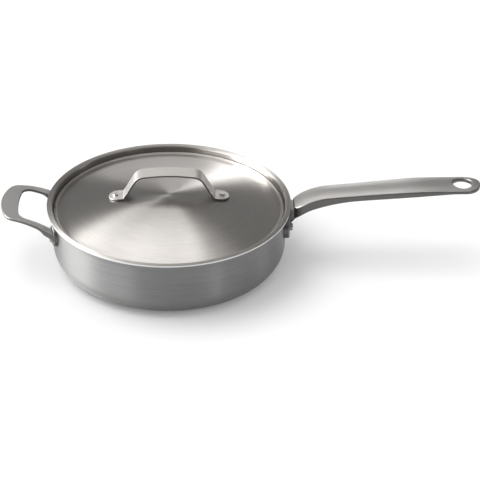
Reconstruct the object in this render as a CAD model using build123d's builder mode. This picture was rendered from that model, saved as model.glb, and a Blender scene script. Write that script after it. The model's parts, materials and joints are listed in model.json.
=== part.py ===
from build123d import *
import os
from math import asin, atan2, copysign, cos, degrees, radians, sin, sqrt, tan

# Saute pan with a lid that drops into its mouth, in millimetres.
# The pan stands on the XY plane, its axis is Z, and the long handle points along +X.
os.makedirs("parts", exist_ok=True)

# Pan: a bonded sheet of three layers, spun to a cup with a flat outward lip
rim_diameter = 280.0
pan_height = 74.0
lip_overhang = 5.55
corner_radius = 26.0
outer_steel = 0.4
core_aluminium = 1.6
inner_steel = 0.4
wall_draft = 0.8
mouth_flare = 7.0
mouth_bend_radius = 8.0
mouth_depth = 10.5
lip_bend_radius = 0.3
lip_droop = 2.0
lip_edge_round = 0.25

# Lid: a shallow dome with a turned-down edge
lid_sheet = 1.0
lid_recess = 6.7
lid_skirt = 1.4
lid_edge_bend = 1.5
lid_flange = 1.3
lid_flange_dip = 22.0
lid_valley_bend = 2.5
dome_edge_angle = 15.4
seat_clearance = 0.3
steam_notch_width = 3.4
steam_notch_depth = 2.6
steam_notch_round = 1.1

# Lid handle: a bent strap with round-ended feet
strap_width = 21.0
strap_thickness = 2.2
strap_gap = 0.02
strap_height = 29.2
strap_span = 138.0
strap_heel = 9.2
strap_crown_turn = 8.3
strap_leg_slope = 60.0
strap_corner_bend = 16.0
strap_foot_bend = 3.0
strap_edge_round = 0.4
strap_rivet_inset = 8.2

# Rivets
wall_shank = 6.0
wall_head = 8.6
wall_head_height = 3.3
wall_head_round = 1.2
wall_tail_head = 10.0
wall_tail_height = 1.8
lid_shank = 4.0
lid_head = 6.0
lid_head_height = 2.2
lid_head_round = 1.0
lid_tail_head = 7.0
lid_tail_height = 1.2
tail_round = 0.8
shank_clearance = 0.05
head_clearance = 0.2
head_access = 0.4

# Long handle and its bracket
handle_standoff = 3.5
handle_length = 213.5
handle_level = 46.4
handle_drop = 2.0
neck_slope = 35.0
neck_lead = 3.7
neck_bend = 75.0
grip_slope = 5.4
grip_bend = 530.0
neck_depth = 17.0
under_slope = 49.0
under_neck_bend = 54.0
under_neck_turn = 29.0
under_bend = 204.0
under_grip_slope = 5.0
under_end_bend = 230.0
handle_end_thickness = 5.8
neck_width = 23.0
shoulder_share = 0.845
shoulder_angle = 45.0
grip_width = 33.4
grip_waist_share = 0.42
handle_end_width = 36.2
handle_end_length = 58.0
crown_height = 2.5
crown_reach_share = 0.7
top_edge_round = 1.5
under_edge_round = 1.2
hang_hole = 22.4
hang_hole_inset = 20.5
hole_edge_round = 1.2
pocket_depth = 2.4
pocket_width = 20.0
pocket_start = 32.0
pocket_length = 128.0
bracket_thickness = 5.0
bracket_top_width = 24.0
bracket_drop = 4.8
ear_radius = 13.2
ear_spacing = 32.0
ear_notch_radius = 8.0
rivet_drop = 25.2
groove_depth = 0.6
groove_radius = 0.8
bracket_round = 1.0
bracket_gap = 0.05

# Helper handle
helper_reach = 52.3
helper_rise = 0.7
helper_palm = 20.1
helper_thickness = 2.9
helper_flat = 4.7
helper_bend = 100.0
helper_slope = 28.0
helper_under_slope = 23.0
helper_web_bend = 20.0
helper_web_slope = 55.0
helper_web_round = 5.0
helper_outer_bow = 75.0
helper_outer_turn = 24.4
helper_outer_corner = 15.0
helper_outer_splay = 12.0
helper_inner_bow = 150.0
helper_inner_turn = 9.0
helper_inner_corner = 12.0
helper_inner_splay = 4.0
helper_pad_thickness = 3.5
helper_pad_radius = 9.5
helper_pad_rise = 6.0
helper_rivet_angle = 17.4
helper_rivet_drop = 24.3
helper_edge_round = 0.9
helper_under_round = 0.3

cut_overrun = 10.0


def heading_of(angle):
    # The direction at an angle from the outline's level axis
    return Vector(cos(radians(angle)), sin(radians(angle)))


def walk(start, heading, steps):
    # Where a run of steps ends: a size with no turn is straight, and a left turn is positive
    at = Vector(*start)
    for size, turn in steps:
        if turn == 0:
            at = at + heading_of(heading) * size
        else:
            side = copysign(size, turn)
            ahead = radians(heading + turn)
            behind = radians(heading)
            at = at + Vector(sin(ahead) - sin(behind), cos(behind) - cos(ahead)) * side
        heading = heading + turn
    return at


def draw(start, heading, steps, inset=0):
    # Draws the steps in the open outline, moved to their left by the inset, and returns both ends
    way = heading_of(heading)
    first = Vector(*start) + Vector(-way.Y, way.X) * inset
    at = first
    for size, turn in steps:
        if turn == 0:
            edge = Line(at, at + way * size)
        else:
            edge = JernArc(at, way, size - copysign(1, turn) * inset, turn)
        at = edge @ 1
        way = edge % 1
    return first, at


def finish(made, name):
    made.part.label = name
    export_step(made.part, f"parts/{name}.step")


# Pan sheet: its outside face from the axis to the lip's edge
sheet = outer_steel + core_aluminium + inner_steel
rim_radius = rim_diameter / 2
wall_foot_radius = rim_radius - lip_overhang
corner_turn = 90 - wall_draft
flare_turn = wall_draft - mouth_flare
lip_turn = mouth_flare - 90 - lip_droop
corner_end = walk((0, 0), 0, [(corner_radius, corner_turn)])
foot_radius = wall_foot_radius - corner_end.X
wall_foot = (wall_foot_radius, corner_end.Y)
wall_run = (pan_height - mouth_depth - corner_end.Y) / cos(radians(wall_draft))
flare_rise = walk((0, 0), corner_turn, [(mouth_bend_radius, flare_turn)]).Y
lip_rise = walk((0, 0), 90 - mouth_flare, [(lip_bend_radius, mouth_flare - 90)]).Y
mouth_run = (mouth_depth - sheet - lip_rise - flare_rise) / cos(radians(mouth_flare))
wall_steps = [(wall_run, 0), (mouth_bend_radius, flare_turn), (mouth_run, 0)]
lip_start = walk(wall_foot, corner_turn, wall_steps + [(lip_bend_radius, lip_turn)])
lip_run = (rim_radius - sheet * sin(radians(lip_droop)) - lip_start.X) / cos(radians(lip_droop))
cup_steps = [(foot_radius, 0), (corner_radius, corner_turn)] + wall_steps
sheet_steps = cup_steps + [(lip_bend_radius, lip_turn), (lip_run, 0)]


def wall_radius(height):
    # The outside of the straight wall at a height
    return wall_foot_radius + (height - corner_end.Y) * tan(radians(wall_draft))


def wall_plane(angle, height):
    # A plane that lies on the wall and looks straight out of it
    out = Vector(cos(radians(angle)), sin(radians(angle)), 0)
    spot = out * wall_radius(height) + Vector(0, 0, height)
    normal = out * cos(radians(wall_draft)) - Vector(0, 0, sin(radians(wall_draft)))
    return Plane(spot, x_dir=(-out.Y, out.X, 0), z_dir=normal)


# Where the two handles are riveted
rivet_height = pan_height - rivet_drop
helper_rivet_height = pan_height - helper_rivet_drop
ear_angle = degrees(asin(ear_spacing / 2 / (wall_radius(rivet_height) + bracket_thickness)))
long_rivets = {
    "long_handle_rivet_front": wall_plane(-ear_angle, rivet_height),
    "long_handle_rivet_rear": wall_plane(ear_angle, rivet_height),
}
helper_rivets = {
    "helper_rivet_front": wall_plane(180 + helper_rivet_angle, helper_rivet_height),
    "helper_rivet_rear": wall_plane(180 - helper_rivet_angle, helper_rivet_height),
}
wall_rivets = long_rivets | helper_rivets


def bore(planes, diameter, reach):
    # Drills the shanks' holes into the open part
    for plane in planes:
        with BuildSketch(plane) as hole:
            Circle(diameter / 2 + shank_clearance)
        extrude(hole.sketch, amount=reach, both=True, mode=Mode.SUBTRACT)


layer_edges = {
    "pan_outer_layer": (0, outer_steel),
    "pan_core": (outer_steel, outer_steel + core_aluminium),
    "pan_inner_layer": (outer_steel + core_aluminium, sheet),
}
for name, (outside, inside) in layer_edges.items():
    with BuildPart() as layer:
        with BuildSketch(Plane.XZ):
            with BuildLine():
                low, outer_end = draw((0, 0), 0, sheet_steps, outside)
                high, inner_end = draw((0, 0), 0, sheet_steps, inside)
                Line(outer_end, inner_end)
                Line(high, low)
            make_face()
        revolve(axis=Axis.Z)
        bore(wall_rivets.values(), wall_shank, corner_radius / 2)
        lip_edges = layer.edges().filter_by(GeomType.CIRCLE).sort_by(lambda edge: edge.radius)[-2:]
        if name == "pan_outer_layer":
            fillet(lip_edges.sort_by(Axis.Z)[0], lip_edge_round)
        if name == "pan_inner_layer":
            fillet(lip_edges.sort_by(Axis.Z)[-1], lip_edge_round)
    finish(layer, name)

# Lid sheet: its top face from the skirt's lower edge to the axis
skirt_height = pan_height - lid_recess - lid_edge_bend - lid_skirt
mouth_face = walk(wall_foot, corner_turn, wall_steps) + heading_of(180 - mouth_flare) * sheet
flare_line = mouth_face.X - (mouth_face.Y - skirt_height) * tan(radians(mouth_flare))
wall_line = wall_radius(skirt_height) - sheet / cos(radians(wall_draft))
lid_radius = max(flare_line, wall_line) - seat_clearance
edge_steps = [
    (lid_skirt, 0),
    (lid_edge_bend, 90 + lid_flange_dip),
    (lid_flange, 0),
    (lid_valley_bend, -lid_flange_dip - dome_edge_angle),
]
dome_start = walk((lid_radius, skirt_height), 90, edge_steps)
dome_radius = dome_start.X / sin(radians(dome_edge_angle))
dome_centre = dome_start.Y - dome_radius * cos(radians(dome_edge_angle))
lid_steps = edge_steps + [(dome_radius, dome_edge_angle)]

strap_rivet_place = strap_span / 2 - strap_rivet_inset


def dome_plane(place):
    # A plane that lies on the dome above a place on the X axis and looks straight out of it
    tilt = asin(place / dome_radius)
    normal = Vector(sin(tilt), 0, cos(tilt))
    spot = normal * dome_radius + Vector(0, 0, dome_centre)
    return Plane(spot, x_dir=(cos(tilt), 0, -sin(tilt)), z_dir=normal)


strap_rivets = {
    "lid_rivet_left": dome_plane(-strap_rivet_place),
    "lid_rivet_right": dome_plane(strap_rivet_place),
}
with BuildPart() as lid:
    with BuildSketch(Plane.XZ):
        with BuildLine():
            top_start, top_end = draw((lid_radius, skirt_height), 90, lid_steps)
            under_start, under_end = draw((lid_radius, skirt_height), 90, lid_steps, lid_sheet)
            Line(top_start, under_start)
            Line(top_end, under_end)
        make_face()
    revolve(axis=Axis.Z)
    bore(strap_rivets.values(), lid_shank, lid_recess)
    with BuildSketch(Plane.XY.offset(skirt_height)):
        with Locations((-lid_radius, 0)):
            RectangleRounded(steam_notch_depth * 2, steam_notch_width, steam_notch_round)
    extrude(amount=lid_recess, both=True, mode=Mode.SUBTRACT)
finish(lid, "lid")

# Lid handle: its top face from the middle to the left foot, with a crown that brings the leg to the heel
strap_top = dome_centre + dome_radius + strap_height
foot_tilt = degrees(asin(strap_rivet_place / dome_radius))
foot_seat = dome_plane(-strap_rivet_place).offset(strap_gap + strap_thickness)
foot_place = Vector(foot_seat.origin.X, foot_seat.origin.Z)
foot_normal = Vector(foot_seat.z_dir.X, foot_seat.z_dir.Z)
heel = foot_place + Vector(foot_seat.x_dir.X, foot_seat.x_dir.Z) * strap_heel
leg_way = heading_of(180 + strap_leg_slope)
leg_normal = heading_of(90 + strap_leg_slope)
corner_steps = [(strap_corner_bend, strap_leg_slope - strap_crown_turn)]
corner_step = walk((0, 0), 180 + strap_crown_turn, corner_steps)
crown_way = heading_of(180 + strap_crown_turn / 2)
crown_chord = leg_normal.dot(heel - Vector(0, strap_top) - corner_step) / leg_normal.dot(crown_way)
crown_radius = crown_chord / 2 / sin(radians(strap_crown_turn / 2))
top_steps = [(crown_radius, strap_crown_turn)] + corner_steps
foot_steps = [(strap_foot_bend, foot_tilt - strap_leg_slope)]
leg_start = walk((0, strap_top), 180, top_steps)
foot_step = walk((0, 0), 180 + strap_leg_slope, foot_steps)
leg_run = foot_normal.dot(foot_place - leg_start - foot_step) / foot_normal.dot(leg_way)
foot_start = leg_start + leg_way * leg_run + foot_step
foot_run = strap_span / 2 + foot_start.X + strap_thickness
strap_steps = top_steps + [(leg_run, 0)] + foot_steps + [(foot_run, 0)]

with BuildPart() as lid_handle:
    with BuildSketch(Plane.XZ):
        with BuildLine():
            top_start, top_end = draw((0, strap_top), 180, strap_steps)
            under_start, under_end = draw((0, strap_top), 180, strap_steps, strap_thickness)
            Line(top_start, under_start)
            Line(top_end, under_end)
        make_face()
    extrude(amount=strap_width / 2, both=True)
    mirror(about=Plane.YZ)
    with BuildSketch():
        SlotOverall(strap_span, strap_width)
    extrude(amount=strap_top + cut_overrun, mode=Mode.INTERSECT)
    bends = lid_handle.edges().filter_by(Axis.Y)
    seams = lid_handle.edges().filter_by(Axis.Z)
    fillet(lid_handle.edges() - bends - seams, strap_edge_round)
    bore(strap_rivets.values(), lid_shank, strap_thickness * 3)
finish(lid_handle, "lid_handle")


def make_rivet(name, seat, grip, sizes):
    # The seat is the plane under the head, and the grip is what lies between the two heads
    shank, head, head_height, head_round, tail, tail_height = sizes
    with BuildPart() as rivet:
        with BuildSketch(seat) as head_disc:
            Circle(head / 2)
        extrude(head_disc.sketch, amount=head_height)
        with BuildSketch(seat.offset(-grip)) as tail_disc:
            Circle(tail / 2)
        extrude(tail_disc.sketch, amount=-tail_height)
        along = Axis(seat.origin, seat.z_dir)
        rims = rivet.edges().filter_by(GeomType.CIRCLE).sort_by(along)
        fillet(rims[-1], head_round)
        fillet(rims[0], tail_round)
        with BuildSketch(seat) as shank_disc:
            Circle(shank / 2)
        extrude(shank_disc.sketch, amount=-grip)
    finish(rivet, name)


wall_sizes = (wall_shank, wall_head, wall_head_height, wall_head_round, wall_tail_head, wall_tail_height)
lid_sizes = (lid_shank, lid_head, lid_head_height, lid_head_round, lid_tail_head, lid_tail_height)
for name, plane in long_rivets.items():
    reach = bracket_gap + bracket_thickness
    make_rivet(name, plane.offset(reach), reach + sheet + head_clearance, wall_sizes)
for name, plane in helper_rivets.items():
    reach = bracket_gap + helper_pad_thickness
    make_rivet(name, plane.offset(reach), reach + sheet + head_clearance, wall_sizes)
for name, plane in strap_rivets.items():
    reach = strap_gap + strap_thickness
    make_rivet(name, plane.offset(reach), reach + lid_sheet + head_clearance, lid_sizes)

# The space that the pan fills, which both handles keep clear of
with BuildPart() as wall_space:
    with BuildSketch(Plane.YZ):
        with BuildLine():
            low, high = draw(wall_foot, corner_turn, wall_steps, -bracket_gap)
            Polyline(high, (0, high.Y), (0, low.Y), low)
        make_face()
    revolve(axis=Axis.Z)


def wall_band(thickness):
    # The corners of a ring's section whose outer face runs along the wall at the thickness
    low = Vector(*wall_foot) + heading_of(-wall_draft) * (bracket_gap + thickness)
    high = low + heading_of(corner_turn) * pan_height
    return (foot_radius, low.Y), low, high, (foot_radius, high.Y)


# Long handle: its crown line and its underside, seen from the side
neck_start = rim_radius + handle_standoff
neck_root = wall_radius(rivet_height) + bracket_thickness / 2
handle_end = neck_start + handle_length
crown_start = (neck_start, pan_height - handle_drop)
neck_steps = [(neck_lead, 0), (neck_bend, grip_slope - neck_slope)]
neck_end = walk(crown_start, neck_slope, neck_steps)
grip_turn_reach = walk((0, 0), grip_slope, [(grip_bend, -grip_slope)]).X
grip_run = (handle_end - handle_level - grip_turn_reach - neck_end.X) / cos(radians(grip_slope))
crown_steps = neck_steps + [(grip_run, 0), (grip_bend, -grip_slope)]
handle_top = walk(crown_start, neck_slope, crown_steps).Y
crown_steps = crown_steps + [(handle_level + cut_overrun, 0)]

under_lead = (neck_start - neck_root) / cos(radians(under_slope))
under_start = (neck_root, crown_start[1] - neck_depth - under_lead * sin(radians(under_slope)))
under_steps = [
    (under_lead, 0),
    (under_neck_bend, -under_neck_turn),
    (under_bend, under_neck_turn + under_grip_slope - under_slope),
]
under_neck_end = walk(under_start, under_slope, under_steps)
under_level = walk((0, 0), under_grip_slope, [(under_end_bend, -under_grip_slope)]).Y
under_rise = handle_top - handle_end_thickness - under_neck_end.Y - under_level
under_run = under_rise / sin(radians(under_grip_slope))
under_steps = under_steps + [(under_run, 0), (under_end_bend, -under_grip_slope)]
under_reach = handle_end + cut_overrun - walk(under_start, under_slope, under_steps).X
under_steps = under_steps + [(under_reach, 0)]
shoulder_step = (grip_width - neck_width) / 2 * shoulder_share
shoulder_radius = shoulder_step / (1 - cos(radians(shoulder_angle)))
groove_floor = pan_height - bracket_drop - groove_depth
handle_roof = handle_top + cut_overrun
crown_radius = (handle_end_width**2 / 4 + crown_height**2) / (2 * crown_height)
crown_side = handle_end_width * crown_reach_share
crown_sag = crown_radius - sqrt(crown_radius**2 - crown_side**2)

# The air over the handle's crown, swept along the crown line
neck_way = heading_of(neck_slope)
air_start = Vector(*crown_start) - neck_way * cut_overrun
with BuildLine() as crown_line:
    draw(air_start, neck_slope, [(cut_overrun, 0)] + crown_steps)
crown_path = Plane.XZ * crown_line.line
crown_across = Plane((air_start.X, 0, air_start.Y), x_dir=(0, 1, 0), z_dir=(neck_way.X, 0, neck_way.Y))
with BuildPart() as crown_air:
    with BuildSketch(crown_across):
        with BuildLine():
            crown = ThreePointArc((-crown_side, -crown_sag), (0, 0), (crown_side, -crown_sag))
            air_top = handle_length / 2
            Polyline(crown @ 1, (crown_side, air_top), (-crown_side, air_top), crown @ 0)
        make_face()
    sweep(path=crown_path)

# A shallow pocket along the handle's underside
with BuildPart() as pocket:
    with BuildSketch(Plane.XZ):
        with BuildLine():
            pocket_first, pocket_last = draw(under_start, under_slope, under_steps, pocket_depth)
            Polyline(pocket_last, (pocket_last.X, 0), (pocket_first.X, 0), pocket_first)
        make_face()
    extrude(amount=pocket_width, both=True)
    with BuildSketch():
        with Locations((neck_start + pocket_start + pocket_length / 2, 0)):
            SlotOverall(pocket_length, pocket_width)
    extrude(amount=handle_roof, mode=Mode.INTERSECT)


def outline(faces):
    # The edges round a group of faces, without those between two of them
    edges = ShapeList(edge for face in faces for edge in face.edges())
    return ShapeList(edge for edge in edges if edges.count(edge) == 1)


with BuildPart() as grip:
    with BuildSketch(Plane.XZ):
        with BuildLine():
            under_first, under_last = draw(under_start, under_slope, under_steps)
            floor = Line((neck_root, groove_floor), (neck_start - groove_radius, groove_floor))
            rise = JernArc(floor @ 1, (1, 0), groove_radius, 90)
            Polyline(rise @ 1, (neck_start, handle_roof), (under_last.X, handle_roof), under_last)
            Line(under_first, floor @ 0)
        make_face()
    extrude(amount=handle_end_width, both=True)
    with BuildSketch():
        with BuildLine():
            neck = Line((neck_root, neck_width / 2), (neck_start, neck_width / 2))
            shoulder = JernArc(neck @ 1, heading_of(shoulder_angle), shoulder_radius, -shoulder_angle)
            waist = (neck_start + handle_length * grip_waist_share, grip_width / 2)
            swell = (handle_end - handle_end_length, handle_end_width / 2)
            side = Spline(shoulder @ 1, waist, swell, tangents=((1, 0), (1, 0)))
            tail = Line(side @ 1, (handle_end - handle_end_width / 2, handle_end_width / 2))
            RadiusArc(tail @ 1, (handle_end, 0), handle_end_width / 2)
            mirror(about=Plane.XZ)
            Line((neck_root, neck_width / 2), (neck_root, -neck_width / 2))
        make_face()
    extrude(amount=handle_roof + cut_overrun, mode=Mode.INTERSECT)
    add(crown_air.part, mode=Mode.SUBTRACT)
    past_neck = grip.faces().filter_by_position(Axis.X, neck_start, handle_end)
    tops = past_neck.filter_by(lambda face: face.normal_at().Z > 0.5)
    unders = past_neck.filter_by(lambda face: face.normal_at().Z < -0.5)
    under_rim = outline(unders).filter_by(lambda edge: edge.center().X > neck_start + groove_radius)
    fillet(under_rim, under_edge_round)
    tops = grip.faces().filter_by_position(Axis.X, neck_start, handle_end)
    fillet(outline(tops.filter_by(lambda face: face.normal_at().Z > 0.7)), top_edge_round)

# The bracket's outline from its top corner round one ear to the notch, seen along the handle
bracket_corner = Vector(bracket_top_width / 2, pan_height - bracket_drop)
to_ear = Vector(ear_spacing / 2, rivet_height) - bracket_corner
slant = degrees(asin(ear_radius / to_ear.length) + atan2(to_ear.Y, to_ear.X))
notch_turn = degrees(asin(ear_spacing / 2 / (ear_radius + ear_notch_radius)))
ear_steps = [
    (sqrt(to_ear.length**2 - ear_radius**2), 0),
    (ear_radius, -180 - slant - notch_turn),
    (ear_notch_radius, notch_turn),
]

with BuildPart() as long_handle:
    with BuildSketch(Plane.YZ):
        Polygon(wall_band(bracket_thickness), align=None)
    revolve(axis=Axis.Z)
    with BuildSketch(Plane.YZ):
        with BuildLine():
            Line((0, bracket_corner.Y), bracket_corner)
            draw(bracket_corner, slant, ear_steps)
            mirror(about=Plane.YZ)
        make_face()
    extrude(amount=rim_radius + cut_overrun, mode=Mode.INTERSECT)
    add(wall_space.part, mode=Mode.SUBTRACT)
    fillet(outline(long_handle.faces().sort_by(Axis.X)[-1:]), bracket_round)
    add(grip.part)
    add(pocket.part, mode=Mode.SUBTRACT)
    with BuildSketch():
        with Locations((handle_end - hang_hole_inset, 0)):
            Circle(hang_hole / 2)
    extrude(amount=handle_roof, mode=Mode.SUBTRACT)
    bore(long_rivets.values(), wall_shank, bracket_thickness * 2)
    past_grip = handle_end - hang_hole_inset - hang_hole
    hole_rims = long_handle.edges().filter_by_position(Axis.X, past_grip, handle_end)
    hole_rims = hole_rims.filter_by(lambda edge: edge.bounding_box().size.Y < hang_hole + shank_clearance)
    hole_rims = hole_rims.filter_by(lambda edge: edge.bounding_box().size.Y > hang_hole / 2)
    fillet(hole_rims, hole_edge_round)
finish(long_handle, "long_handle")

# Helper handle: its top face and its underside, seen from the side
helper_tip = -rim_radius - helper_reach
helper_root = helper_pad_radius / 2 - wall_foot_radius * cos(radians(helper_rivet_angle))
helper_top = pan_height + helper_rise
helper_top_steps = [(helper_flat, 0), (helper_bend, -helper_slope)]
helper_under_steps = [(helper_flat, 0), (helper_bend, -helper_under_slope)]
helper_under_steps = helper_under_steps + [
    (helper_web_bend, helper_under_slope - helper_web_slope),
    (helper_web_round, helper_web_slope - helper_slope),
]
for steps in (helper_top_steps, helper_under_steps):
    steps.append(((helper_root - walk((helper_tip, 0), 0, steps).X) / cos(radians(helper_slope)), 0))

# The same handle seen from above: its outer and inner edges
outer_steps = [
    (helper_outer_bow, -helper_outer_turn),
    (helper_outer_corner, helper_outer_turn - 90 + helper_outer_splay),
]
inner_steps = [
    (helper_inner_bow, -helper_inner_turn),
    (helper_inner_corner, helper_inner_turn - 90 + helper_inner_splay),
]
outer_run = (helper_root - walk((helper_tip, 0), 90, outer_steps).X) / cos(radians(helper_outer_splay))
inner_start = (helper_tip + helper_palm, 0)
inner_run = (helper_root - walk(inner_start, 90, inner_steps).X) / cos(radians(helper_inner_splay))

with BuildPart() as helper_pads:
    for plane in helper_rivets.values():
        with BuildSketch(plane.offset(-sheet)) as pad:
            with Locations((0, helper_pad_rise / 2)):
                SlotCenterToCenter(helper_pad_rise, helper_pad_radius * 2, rotation=90)
        extrude(pad.sketch, amount=sheet + bracket_gap + helper_pad_thickness)
    for plane in helper_rivets.values():
        front = helper_pads.faces().sort_by(Axis(plane.origin, plane.z_dir))[-1]
        fillet(front.edges(), helper_edge_round)

with BuildPart() as helper_handle:
    with BuildSketch(Plane.XZ):
        with BuildLine():
            top_first, top_last = draw((helper_tip, helper_top), 0, helper_top_steps)
            under_first, under_last = draw((helper_tip, helper_top), 0, helper_under_steps, -helper_thickness)
            Line(top_first, under_first)
            Line(under_last, top_last)
        make_face()
    extrude(amount=rim_radius, both=True)
    with BuildSketch():
        with BuildLine():
            outer_first, outer_last = draw((helper_tip, 0), 90, outer_steps + [(outer_run, 0)])
            inner_first, inner_last = draw(inner_start, 90, inner_steps + [(inner_run, 0)])
            Line(outer_last, inner_last)
            Line(outer_first, inner_first)
        make_face()
        mirror(about=Plane.XZ)
    extrude(amount=helper_top + cut_overrun, mode=Mode.INTERSECT)
    for side, edge_round in ((1, helper_edge_round), (-1, helper_under_round)):
        broad = helper_handle.faces().filter_by(lambda face: face.normal_at().Z * side > 0.7)
        rim = outline(broad).filter_by(lambda edge: edge.center().X < helper_root - bracket_gap)
        fillet(rim, edge_round)
    add(helper_pads.part)
    add(wall_space.part, mode=Mode.SUBTRACT)
    bore(helper_rivets.values(), wall_shank, helper_pad_thickness * 2)
    for plane in helper_rivets.values():
        with BuildSketch(plane.offset(bracket_gap + helper_pad_thickness)) as access:
            Circle(wall_head / 2 + head_access)
        extrude(access.sketch, amount=wall_head, mode=Mode.SUBTRACT)
finish(helper_handle, "helper_handle")
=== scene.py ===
import json
import math

import bpy
from mathutils import Matrix, Vector


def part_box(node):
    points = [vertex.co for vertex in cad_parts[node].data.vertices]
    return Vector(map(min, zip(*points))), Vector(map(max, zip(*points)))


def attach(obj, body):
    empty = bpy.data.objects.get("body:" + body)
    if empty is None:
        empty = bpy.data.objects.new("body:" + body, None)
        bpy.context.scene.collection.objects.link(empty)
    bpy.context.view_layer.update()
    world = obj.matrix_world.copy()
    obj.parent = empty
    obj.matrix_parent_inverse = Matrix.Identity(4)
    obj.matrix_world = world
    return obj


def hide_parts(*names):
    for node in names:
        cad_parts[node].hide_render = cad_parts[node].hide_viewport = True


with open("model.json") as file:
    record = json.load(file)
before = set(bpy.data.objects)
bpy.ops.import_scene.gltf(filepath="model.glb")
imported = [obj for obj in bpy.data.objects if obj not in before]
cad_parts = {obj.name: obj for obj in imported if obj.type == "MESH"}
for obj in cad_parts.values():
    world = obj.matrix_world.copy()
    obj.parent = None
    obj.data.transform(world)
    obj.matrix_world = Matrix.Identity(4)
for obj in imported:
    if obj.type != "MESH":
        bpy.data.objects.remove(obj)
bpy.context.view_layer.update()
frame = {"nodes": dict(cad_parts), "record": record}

scene = bpy.context.scene
millimetre = 0.001


# camera: fitted to the rim, the lid's rivets and both handles in the photograph
cameraView = {
    "lens": 127.5,
    "sensor": 36.0,
    "elevation": 31.29,
    "turn": 2.0,             # degrees that the pan is turned anticlockwise in the picture
    "roll": 0.79,
    "distance": 1.952251,
    "rimAcross": -0.081396,  # where the rim's centre lies from the middle of the view
    "rimUp": 0.044762,
    "farthest": 50.0,
}


def makeCamera(view, rimCentre):
    data = bpy.data.cameras.new("photoCamera")
    data.lens = view["lens"]
    data.sensor_width = view["sensor"]
    data.clip_end = view["farthest"]
    turn = Matrix.Rotation(math.radians(-view["turn"]), 3, "Z")
    tilt = Matrix.Rotation(math.radians(90 - view["elevation"]), 3, "X")
    roll = Matrix.Rotation(math.radians(view["roll"]), 3, "Z")
    facing = turn @ tilt @ roll
    place = rimCentre - facing @ Vector((view["rimAcross"], view["rimUp"], -view["distance"]))
    camera = bpy.data.objects.new("photoCamera", data)
    camera.matrix_world = Matrix.Translation(place) @ facing.to_4x4()
    scene.collection.objects.link(camera)
    scene.camera = camera


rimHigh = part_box("pan_inner_layer")[1]
makeCamera(cameraView, Vector((0, 0, rimHigh.z)))
print("camera set")


# shader toolkit: a sum on sockets adds its own Math nodes
class Wire:
    def __init__(self, socket):
        self.socket = socket

    def maths(self, operation, first, second):
        node = self.socket.id_data.nodes.new("ShaderNodeMath")
        node.operation = operation
        plug(first, node.inputs[0])
        plug(second, node.inputs[1])
        return Wire(node.outputs[0])

    def __add__(self, other):
        return self.maths("ADD", self, other)

    def __radd__(self, other):
        return self.maths("ADD", other, self)

    def __sub__(self, other):
        return self.maths("SUBTRACT", self, other)

    def __rsub__(self, other):
        return self.maths("SUBTRACT", other, self)

    def __mul__(self, other):
        return self.maths("MULTIPLY", self, other)

    def __rmul__(self, other):
        return self.maths("MULTIPLY", other, self)

    def __truediv__(self, other):
        return self.maths("DIVIDE", self, other)

    def __rtruediv__(self, other):
        return self.maths("DIVIDE", other, self)

    def __pow__(self, other):
        return self.maths("POWER", self, other)

    def __rpow__(self, other):
        return self.maths("POWER", other, self)


def plug(value, slot):
    if isinstance(value, Wire):
        slot.id_data.links.new(value.socket, slot)
    else:
        slot.default_value = value


noiseMean = 0.5   # what a noise comes to on average


class Finish:
    def __init__(self, owner):
        self.owner = owner
        self.owner.use_nodes = True
        self.tree = self.owner.node_tree
        self.tree.nodes.clear()

    def node(self, kind, settings=None, inputs=None):
        made = self.tree.nodes.new(kind)
        for key, value in (settings or {}).items():
            setattr(made, key, value)
        for key, value in (inputs or {}).items():
            plug(value, made.inputs[key])
        wires = [Wire(output) for output in made.outputs]
        results = dict(zip(made.outputs.keys(), wires))
        results.update(enumerate(wires))
        return results   # by name and by number, because some nodes repeat a name

    def output(self, shader, kind="ShaderNodeOutputMaterial"):
        self.node(kind, inputs={"Surface": shader})
        return self.owner

    def blend(self, factor, first, second):
        # by number, because the Mix node's colour sockets share their names with others
        return self.node("ShaderNodeMix", {"data_type": "RGBA"}, {0: factor, 6: first, 7: second})[2]

    def scaled(self, colour, amount):
        sockets = {"Vector": colour, "Scale": amount}
        return self.node("ShaderNodeVectorMath", {"operation": "SCALE"}, sockets)["Vector"]

    def clamp(self, value):
        return self.node("ShaderNodeClamp", inputs={"Value": value})["Result"]

    def split(self, vector):
        return self.node("ShaderNodeSeparateXYZ", inputs={"Vector": vector})

    def combine(self, x, y, z):
        return self.node("ShaderNodeCombineXYZ", inputs={"X": x, "Y": y, "Z": z})["Vector"]

    def noise(self, vector, scale, detail=3.0, roughness=0.55):
        sockets = {"Vector": vector, "Scale": scale, "Detail": detail, "Roughness": roughness}
        return self.node("ShaderNodeTexNoise", {"noise_dimensions": "3D"}, sockets)["Fac"]

    def bump(self, height, strength, distance):
        sockets = {"Height": height, "Strength": strength, "Distance": distance}
        return self.node("ShaderNodeBump", inputs=sockets)["Normal"]


def grey(level, warmth=0.0):
    return (level * (1 + warmth), level, level * (1 - warmth), 1.0)


# brushed sheet: scratches run round the pan's axis, and the shine spreads across them
brushing = {
    "along": 4.0, "across": 900.0,   # how fast the scratches change round the axis and across it
    "rise": 1.7,                     # their change up a wall, as a share of the change across
    "axisGap": 0.0001,               # keeps the division whole at the axis
    "fineScale": 1.0, "fineDetail": 3.0, "fineRoughness": 0.6, "fineShare": 0.72,
    "coarseScale": 0.35, "coarseDetail": 2.0, "coarseShare": 0.28,
    "smudgeTone": 0.5,
    "evenTone": 0.5,                 # halfway between the light and the dark colour
    "rimPaintedDark": 0.8,                  # the rim band's painted dark colour as a share of its painted light one
    "shineTurn": 0.25,               # a quarter turn lays the shine across the scratches
}
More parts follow.
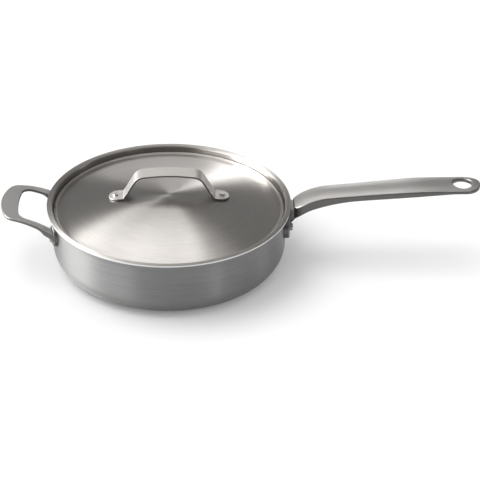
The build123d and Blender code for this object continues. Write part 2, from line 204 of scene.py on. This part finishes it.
# the sheets are kept rougher than about 0.275, because crossing it left speckles in the render
sheetLooks = {
    # painted shade: the outer wall's colours are set dark to stand in for dark reflections, and its lip
    # band is painted lighter
    "brushed_wall": {
        "light": 0.25, "dark": 0.175, "warmth": 0.006, "toneSpread": 1.5, "smudge": 14.0,
        "rough": 0.30, "roughSpread": 0.12, "smudgeRough": 0.05, "anisotropy": 0.85,
        "bump": 0.12, "depth": 0.0003,
        "rimFrom": 0.1375, "rimFade": 0.002, "rimPaintedLight": 0.40, "rimRough": 0.20,
    },
    # painted shade: the inside's colours are set dark to stand in for the dark room it mirrors, and its lip
    # band is painted lighter
    "polished_inside": {
        "light": 0.38, "dark": 0.28, "warmth": 0.055, "toneSpread": 1.0, "smudge": 12.0,
        "rough": 0.265, "roughSpread": 0.03, "smudgeRough": 0.03, "anisotropy": 0.85,
        "bump": 0.06, "depth": 0.0002,
        "rimFrom": 0.1335, "rimFade": 0.001, "rimPaintedLight": 0.56, "rimRough": 0.22,
    },
    # painted light: the lid's edge band has its own painted tone, for the light line along its bend
    "brushed_lid": {
        "light": 0.63, "dark": 0.53, "warmth": 0.047, "toneSpread": 1.8, "smudge": 12.0,
        "rough": 0.265, "roughSpread": 0.04, "smudgeRough": 0.03, "anisotropy": 0.88,
        "bump": 0.10, "depth": 0.0003,
        "rimFrom": 0.1275, "rimFade": 0.0015, "rimPaintedLight": 0.60, "rimRough": 0.24,
    },
}


def brushedSheet(name, look):
    finish = Finish(bpy.data.materials.new(name))
    place = finish.node("ShaderNodeTexCoord")["Object"]
    axes = finish.split(place)
    radius = (axes["X"] ** 2 + axes["Y"] ** 2) ** 0.5
    away = radius + brushing["axisGap"]
    scratches = finish.combine(
        axes["X"] / away * brushing["along"],
        axes["Y"] / away * brushing["along"],
        (radius + axes["Z"] * brushing["rise"]) * brushing["across"],
    )
    fine = finish.noise(scratches, brushing["fineScale"], brushing["fineDetail"], brushing["fineRoughness"])
    coarse = finish.noise(scratches, brushing["coarseScale"], brushing["coarseDetail"])
    smudges = finish.noise(place, look["smudge"])
    streak = fine * brushing["fineShare"] + coarse * brushing["coarseShare"]
    brushed = (streak - noiseMean) * look["toneSpread"]
    handled = (smudges - noiseMean) * brushing["smudgeTone"]
    # painted light: past rimFrom (the pan's lip, the lid's edge) the colour turns to the band's own painted
    # tone; the extra roughness there is the finish's own
    rim = finish.clamp((radius - look["rimFrom"]) / look["rimFade"])
    warmth = look["warmth"]
    rimPaintedDark = look["rimPaintedLight"] * brushing["rimPaintedDark"]
    light = finish.blend(rim, grey(look["light"], warmth), grey(look["rimPaintedLight"], warmth))
    dark = finish.blend(rim, grey(look["dark"], warmth), grey(rimPaintedDark, warmth))
    worn = streak * look["roughSpread"] + smudges * look["smudgeRough"]
    shader = finish.node("ShaderNodeBsdfPrincipled", inputs={
        "Base Color": finish.blend(brushed + handled + brushing["evenTone"], light, dark),
        "Metallic": 1.0,
        "Roughness": worn + rim * look["rimRough"] + look["rough"],
        "Anisotropic": look["anisotropy"],
        "Anisotropic Rotation": brushing["shineTurn"],
        "Normal": finish.bump(coarse, look["bump"], look["depth"]),
    })
    return finish.output(shader["BSDF"])


# cast and blasted: a fine even grain, with painted light: upper faces painted lighter and sides painted
# darker, as shade falls
blasting = {
    "grainDetail": 4.0, "grainRoughness": 0.65,
    "grainRough": 0.10, "cloudRough": 0.06,
    "depth": 0.0002,
}
castLooks = {
    # painted shade: the side colours are set dark to stand in for the dark reflections on the sides
    "satin_cast": {
        "side": 0.13, "top": 0.48, "sideTo": 0.45, "topFade": 0.45, "warmth": 0.030,
        "grain": 1400.0, "cloud": 22.0, "grainTone": 0.30, "cloudTone": 0.15,
        "rough": 0.34, "bump": 0.15,
    },
    # painted light: the strap's top colour is painted lighter than the handles', though both are the same
    # cast steel
    "satin_strap_painted_light": {
        "side": 0.13, "top": 0.74, "sideTo": 0.30, "topFade": 0.45, "warmth": 0.042,
        "grain": 1400.0, "cloud": 22.0, "grainTone": 0.30, "cloudTone": 0.15,
        "rough": 0.36, "bump": 0.15,
    },
    "rivet": {
        "side": 0.30, "top": 0.72, "sideTo": 0.30, "topFade": 0.50, "warmth": 0.03,
        "grain": 1100.0, "cloud": 60.0, "grainTone": 0.2, "cloudTone": 0.2,
        "rough": 0.26, "bump": 0.08,
    },
    "core": {
        "side": 0.66, "top": 0.72, "sideTo": 0.30, "topFade": 0.50, "warmth": -0.01,
        "grain": 900.0, "cloud": 40.0, "grainTone": 0.2, "cloudTone": 0.2,
        "rough": 0.40, "bump": 0.10,
    },
}


def satinCast(name, look):
    finish = Finish(bpy.data.materials.new(name))
    surface = finish.node("ShaderNodeTexCoord")
    place = surface["Object"]
    grain = finish.noise(place, look["grain"], blasting["grainDetail"], blasting["grainRoughness"])
    cloud = finish.noise(place, look["cloud"])
    upward = finish.split(surface["Normal"])["Z"]
    # painted light and shade: faces that point up get the lighter top colour, sides the darker side colour
    paintedTopLight = finish.clamp((upward - look["sideTo"]) / look["topFade"])
    grained = (grain - noiseMean) * look["grainTone"]
    clouded = (cloud - noiseMean) * look["cloudTone"]
    side = grey(look["side"], look["warmth"])
    top = grey(look["top"], look["warmth"])
    shader = finish.node("ShaderNodeBsdfPrincipled", inputs={
        "Base Color": finish.scaled(finish.blend(paintedTopLight, side, top), grained + clouded + 1.0),
        "Metallic": 1.0,
        "Roughness": grain * blasting["grainRough"] + cloud * blasting["cloudRough"] + look["rough"],
        "Normal": finish.bump(grain, look["bump"], blasting["depth"]),
    })
    return finish.output(shader["BSDF"])


finishes = {name: brushedSheet(name, look) for name, look in sheetLooks.items()}
finishes.update({name: satinCast(name, look) for name, look in castLooks.items()})
slotOf = {part["node"]: part["material_slot"] for part in frame["record"]["subparts"]}
ownFinish = {"lid_handle": "satin_strap_painted_light"}   # painted light: the strap gets a lighter copy of the cast handles' finish
for name, node in frame["nodes"].items():
    for slot in node.material_slots:
        slot.material = finishes[ownFinish.get(name, slotOf[name])]
print("finishes set on", len(frame["nodes"]), "nodes")


# turned pieces: a sheet's section is walked in straight and turning steps, in millimetres
section = {
    "straightPiece": 12,   # about how long one piece of a straight step is
    "bendTurn": 3,         # the most degrees in one piece of a bend
    "bendPiece": 6,        # the most millimetres in one
    "fewestPieces": 4,
    "axisReach": 0.001,    # a point nearer to the axis than this is on it
}


def leftOf(angle):
    return Vector((-math.sin(angle), math.cos(angle)))


def walkSection(start, heading, steps, inset=0.0):
    angle = math.radians(heading)
    at = Vector(start) + leftOf(angle) * inset
    points = [at.copy()]
    for size, turn in steps:
        if turn == 0:
            pieces = max(1, round(size / section["straightPiece"]))
            way = Vector((math.cos(angle), math.sin(angle)))
            points += [at + way * size * (index + 1) / pieces for index in range(pieces)]
            at = points[-1]
            continue
        side = math.copysign(1, turn)
        radius = size - side * inset
        centre = at + leftOf(angle) * side * radius
        byTurn = math.ceil(abs(turn) / section["bendTurn"])
        byLength = math.ceil(radius * math.radians(abs(turn)) / section["bendPiece"])
        pieces = max(section["fewestPieces"], byTurn, byLength)
        for index in range(pieces):
            there = angle + math.radians(turn) * (index + 1) / pieces
            points.append(centre - leftOf(there) * side * radius)
        at = points[-1]
        angle += math.radians(turn)
    return points


def turned(point, index, turns):
    angle = math.tau * index / turns
    corner = (point.x * math.cos(angle), point.x * math.sin(angle), point.y)
    return tuple(size * millimetre for size in corner)


def spinRuns(name, runs, turns, notch=None):
    corners, faces = [], []
    for run in runs:
        rings = []
        for point in run:
            first = len(corners)
            if point.x < section["axisReach"]:
                corners.append((0, 0, point.y * millimetre))
                rings.append([first] * turns)
                continue
            corners += [turned(point, index, turns) for index in range(turns)]
            rings.append(range(first, first + turns))
        for near, far, point, beyond in zip(rings, rings[1:], run, run[1:]):
            for index in range(turns):
                if notch and min(point.x, beyond.x) > notch["radius"] and index in notch["columns"]:
                    continue
                after = (index + 1) % turns
                loop = [near[index], far[index], far[after], near[after]]
                faces.append(list(dict.fromkeys(loop)))   # at the axis, two corners are the same
    for wall in notch["walls"] if notch else ():
        faces.append(list(range(len(corners), len(corners) + len(wall))))
        corners += [turned(point, index, turns) for point, index in wall]
    mesh = bpy.data.meshes.new(name)
    mesh.from_pydata(corners, [], faces)
    mesh.polygons.foreach_set("use_smooth", [True] * len(mesh.polygons))
    piece = bpy.data.objects.new(name, mesh)
    scene.collection.objects.link(piece)
    return piece


def fitPiece(piece, node, body):
    slot = slotOf[node]
    piece.data.materials.append(finishes[slot])
    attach(piece, body)
    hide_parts(node)


# pan: three bonded layers turned to one cup, with a flared mouth and a flat lip
panSheet = {
    "outer": 0.4, "core": 1.6, "inner": 0.4,
    "cornerRadius": 26.0, "wallDraft": 0.8,
    "mouthFlare": 7.0, "mouthBend": 8.0, "mouthDepth": 10.5,
    "lipBend": 0.3, "lipDroop": 2.0, "lipOverhang": 5.55, "edgeRound": 0.25,
    "turns": 480,
}


def panSteps(look):
    rimRadius = rimHigh.x / millimetre
    height = rimHigh.z / millimetre
    sheet = look["outer"] + look["core"] + look["inner"]
    wallRadius = rimRadius - look["lipOverhang"]
    draft, flare, droop = look["wallDraft"], look["mouthFlare"], look["lipDroop"]
    cornerEnd = walkSection((0, 0), 0, [(look["cornerRadius"], 90 - draft)])[-1]
    flareEnd = walkSection((0, 0), 90 - draft, [(look["mouthBend"], draft - flare)])[-1]
    lipRise = walkSection((0, 0), 90 - flare, [(look["lipBend"], flare - 90)])[-1].y
    wallRise = height - look["mouthDepth"] - cornerEnd.y
    mouthRise = look["mouthDepth"] - sheet - lipRise - flareEnd.y
    steps = [
        (wallRadius - cornerEnd.x, 0),
        (look["cornerRadius"], 90 - draft),
        (wallRise / math.cos(math.radians(draft)), 0),
        (look["mouthBend"], draft - flare),
        (mouthRise / math.cos(math.radians(flare)), 0),
        (look["lipBend"], flare - 90 - droop),
    ]
    lipStart = walkSection((0, 0), 0, steps)[-1]
    reach = rimRadius - sheet * math.sin(math.radians(droop)) - lipStart.x
    return steps, reach / math.cos(math.radians(droop))


def makePan(look):
    steps, lip = panSteps(look)
    rounding = look["edgeRound"]
    full = steps + [(lip, 0)]
    trimmed = steps + [(lip - rounding, 0)]
    coreFrom = look["outer"]
    coreTo = coreFrom + look["core"]
    inside = coreTo + look["inner"]

    def face(path, inset):
        return walkSection((0, 0), 0, path, inset)

    def rounded(inset, turn, level):
        # the lip's edge is turned about a centre inside the sheet, and ends at the core
        points = face(trimmed, inset)
        way = (points[-1] - points[-2]).normalized()
        angle = math.degrees(math.atan2(way.y, way.x))
        corner = walkSection(points[-1], angle, [(rounding, turn)])
        return points + corner[1:] + [face(full, level)[-1]]

    coreTop = face(full, coreTo)
    coreUnder = face(full, coreFrom)
    layers = {
        "pan_inner_layer": [rounded(inside, -90, coreTo), coreTop[::-1]],
        "pan_core": [[coreTop[-1], coreUnder[-1]], coreTop, coreUnder[::-1]],
        "pan_outer_layer": [coreUnder, rounded(0, 90, coreFrom)[::-1]],
    }
    for node, runs in layers.items():
        fitPiece(spinRuns(node + "_turned", runs, look["turns"]), node, "pan")


makePan(panSheet)
print("pan turned")


# lid: a shallow dome with a turned-down edge and a steam notch
lidSheet = {
    "sheet": 1.0, "skirt": 1.4, "edgeBend": 1.5,
    "flange": 1.3, "flangeDip": 22.0, "valleyBend": 2.5,
    "domeAngle": 15.4, "notchDepth": 2.6,
    "turns": 492,
}


def makeLid(look):
    low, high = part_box("lid")
    radius = high.x / millimetre
    start = (radius, low.z / millimetre)
    dip, dome = look["flangeDip"], look["domeAngle"]
    edge = [
        (look["skirt"], 0),
        (look["edgeBend"], 90 + dip),
        (look["flange"], 0),
        (look["valleyBend"], -dip - dome),
    ]
    domeStart = walkSection(start, 90, edge)[-1]
    steps = edge + [(domeStart.x / math.sin(math.radians(dome)), dome)]
    top = walkSection(start, 90, steps)
    under = walkSection(start, 90, steps, look["sheet"])
    reach = radius - look["notchDepth"]
    middle = look["turns"] // 2
    # the notch is two columns wide, and its sides and its inner end close the sheet's thickness
    outline = [point for point in top if point.x > reach][::-1]
    outline += [point for point in under if point.x > reach]
    innerEnd = [(outline[-1], middle + side) for side in (-1, 0, 1)]
    innerEnd += [(outline[0], middle + side) for side in (1, 0, -1)]
    walls = [
        [(point, middle - 1) for point in outline],
        [(point, middle + 1) for point in outline[::-1]],
        innerEnd,
    ]
    notch = {"radius": reach, "columns": (middle - 1, middle), "walls": walls}
    runs = [top[::-1], under, [top[0], under[0]]]
    fitPiece(spinRuns("lid_turned", runs, look["turns"], notch), "lid", "lid")


makeLid(lidSheet)
print("lid turned")


# stage: one pale floor that keeps the shadow
stageLook = {
    "size": 12.0,
    "albedo": 0.92,
    "glow": 0.12,    # share of plain white that the camera and the mirroring metal see
    "world": 0.20,
}


def makeStage(look):
    half = look["size"] / 2
    square = [(-half, -half, 0), (half, -half, 0), (half, half, 0), (-half, half, 0)]
    mesh = bpy.data.meshes.new("floor")
    mesh.from_pydata(square, [], [(0, 1, 2, 3)])
    floor = bpy.data.objects.new("floor", mesh)
    scene.collection.objects.link(floor)
    finish = Finish(bpy.data.materials.new("paleFloor"))
    rays = finish.node("ShaderNodeLightPath")
    seen = rays["Is Camera Ray"] + rays["Is Glossy Ray"] + rays["Is Transmission Ray"]
    matt = finish.node("ShaderNodeBsdfDiffuse", inputs={"Color": grey(look["albedo"])})["BSDF"]
    white = {"Color": grey(1.0), "Strength": 1.0}
    glow = finish.node("ShaderNodeEmission", inputs=white)["Emission"]
    mix = finish.node("ShaderNodeMixShader", inputs={0: seen * look["glow"], 1: matt, 2: glow})
    mesh.materials.append(finish.output(mix["Shader"]))
    world = bpy.data.worlds.new("studio")
    scene.world = world
    sky = Finish(world)
    pale = {"Color": grey(look["world"]), "Strength": 1.0}
    background = sky.node("ShaderNodeBackground", inputs=pale)["Background"]
    sky.output(background, "ShaderNodeOutputWorld")


makeStage(stageLook)
print("stage set")


# lamps: two soft suns for the matt light and the shadow, and panels for the metal to mirror
lampAway = {"sun": 3.0, "panel": 2.2}   # metres from the middle of the pan's underside
sunLooks = {
    "key": {"azimuth": 168.0, "elevation": 60.0, "spread": 46.0, "power": 1.4},
    "fill": {"azimuth": 90.0, "elevation": 90.0, "spread": 140.0, "power": 1.95},
}
panelLooks = {
    "topPanel": {"azimuth": 98.0, "elevation": 62.0, "size": (0.95, 0.6), "radiance": 3.4},
    "besidePanel": {"azimuth": 66.0, "elevation": 62.0, "size": (0.4, 0.6), "radiance": 0.9},
    "cornerPanel": {"azimuth": 128.0, "elevation": 52.0, "size": (0.2, 0.7), "radiance": 5.0},
    "wedgePanel": {"azimuth": 81.5, "elevation": 14.0, "size": (0.16, 0.4), "radiance": 5.0},
    "lowPanel": {"azimuth": 89.0, "elevation": 13.0, "size": (1.0, 0.4), "radiance": 1.2},
    "leftPanel": {"azimuth": 176.0, "elevation": 20.0, "size": (1.6, 1.6), "radiance": 19.0},
    "frontPanel": {"azimuth": 216.0, "elevation": 18.0, "size": (1.7, 1.0), "radiance": 6.6},
    "streakPanel": {"azimuth": 311.0, "elevation": 7.0, "size": (0.05, 0.5), "radiance": 40.0},
    "sidePanel": {"azimuth": 2.0, "elevation": 7.0, "size": (0.07, 0.5), "radiance": 18.0},
}


def placeLamp(data, look, away):
    azimuth = math.radians(look["azimuth"])
    elevation = math.radians(look["elevation"])
    reach = math.cos(elevation)
    way = Vector((math.cos(azimuth) * reach, math.sin(azimuth) * reach, math.sin(elevation)))
    lamp = bpy.data.objects.new(data.name, data)
    lamp.location = way * away
    lamp.rotation_euler = (-way).to_track_quat("-Z", "Y").to_euler()
    scene.collection.objects.link(lamp)
    return lamp


def makeSoftSun(name, look):
    data = bpy.data.lights.new(name, "SUN")
    data.angle = math.radians(look["spread"])
    data.energy = look["power"]
    placeLamp(data, look, lampAway["sun"]).visible_glossy = False


def makePanel(name, look):
    data = bpy.data.lights.new(name, "AREA")
    data.shape = "RECTANGLE"
    data.size, data.size_y = look["size"]
    data.energy = look["radiance"] * math.pi * data.size * data.size_y
    placeLamp(data, look, lampAway["panel"]).visible_diffuse = False


for name, look in sunLooks.items():
    makeSoftSun(name, look)
for name, look in panelLooks.items():
    makePanel(name, look)
print("lamps set:", len(sunLooks) + len(panelLooks))

scene.view_settings.view_transform = "Standard"
